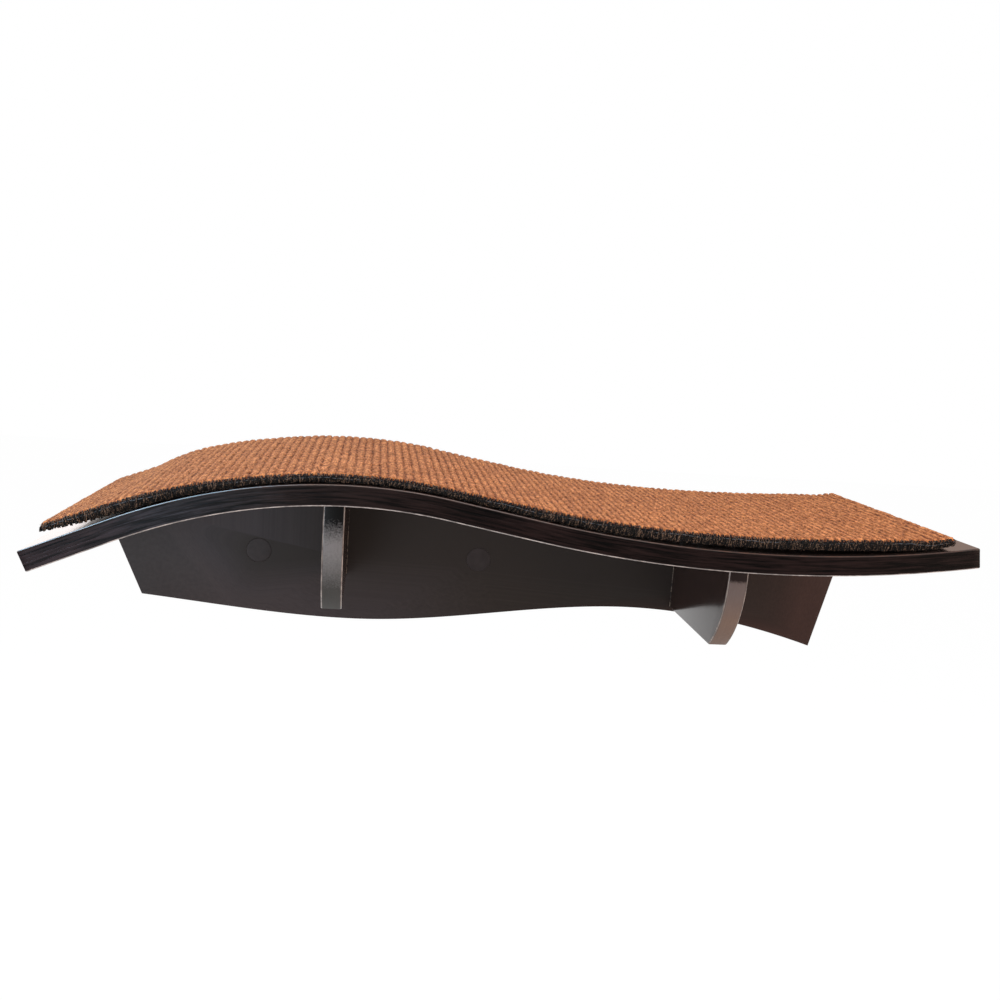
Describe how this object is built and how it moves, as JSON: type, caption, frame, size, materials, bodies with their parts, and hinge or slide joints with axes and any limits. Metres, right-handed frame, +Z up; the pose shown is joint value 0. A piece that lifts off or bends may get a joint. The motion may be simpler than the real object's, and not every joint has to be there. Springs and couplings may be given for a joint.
{
  "type": "cat wall shelf",
  "caption": "Wave-shaped moulded plywood wall shelf on a wall panel with upright brackets, pull-out screw caps and a lift-off ribbed carpet mat.",
  "frame": {"origin": "on the wall, midway between the outer wall screws", "axes": "+X along the wall to the right, +Y into the wall, +Z up"},
  "size_m": [0.8948, 0.28, 0.2221],
  "materials": {
    "face_veneer": "satin lacquer, dark espresso",
    "core_ply": "stained and lacquered ply edge",
    "panel_lacquer": "satin lacquer, dark espresso",
    "bracket_lacquer": "satin lacquer, dark espresso",
    "zinc_screw": "zinc plated",
    "beech_dowel": "plain beech",
    "dark_cap": "fine satin",
    "hook_strip": "woven nylon hooks",
    "loop_strip": "brushed nylon loops",
    "mat_backing": "coarse felt",
    "carpet": "ribbed loop pile",
    "edge_yarn": "overlocked yarn"
  },
  "bodies": {
    "shelf": {"shelf_top_veneer": "face_veneer", "shelf_ply_1": "core_ply", "shelf_ply_2": "core_ply", "shelf_ply_3": "core_ply", "shelf_ply_4": "core_ply", "shelf_ply_5": "core_ply", "shelf_bottom_veneer": "face_veneer", "wall_panel": "panel_lacquer", "left_bracket": "bracket_lacquer", "right_bracket": "bracket_lacquer", "panel_top_screws": "zinc_screw", "left_bracket_top_screws": "zinc_screw", "right_bracket_top_screws": "zinc_screw", "left_bracket_back_screws": "zinc_screw", "right_bracket_back_screws": "zinc_screw", "left_bracket_dowels": "beech_dowel", "right_bracket_dowels": "beech_dowel", "board_hook_strips": "hook_strip"},
    "mat": {"mat_loop_strips": "loop_strip", "mat_backing": "mat_backing", "mat_carpet": "carpet", "mat_binding": "edge_yarn"},
    "left_cap": {"left_screw_cap": "dark_cap"},
    "middle_cap": {"middle_screw_cap": "dark_cap"},
    "right_cap": {"right_screw_cap": "dark_cap"}
  },
  "joints": [
    {"name": "mat_lift", "type": "slide", "parent": "shelf", "child": "mat", "axis": [0, 0, 1], "range_m": [0, 0.15]},
    {"name": "left_cap_pull", "type": "slide", "parent": "shelf", "child": "left_cap", "axis": [0, -1, 0], "range_m": [0, 0.03]},
    {"name": "middle_cap_pull", "type": "slide", "parent": "shelf", "child": "middle_cap", "axis": [0, -1, 0], "range_m": [0, 0.03]},
    {"name": "right_cap_pull", "type": "slide", "parent": "shelf", "child": "right_cap", "axis": [0, -1, 0], "range_m": [0, 0.03]}
  ]
}
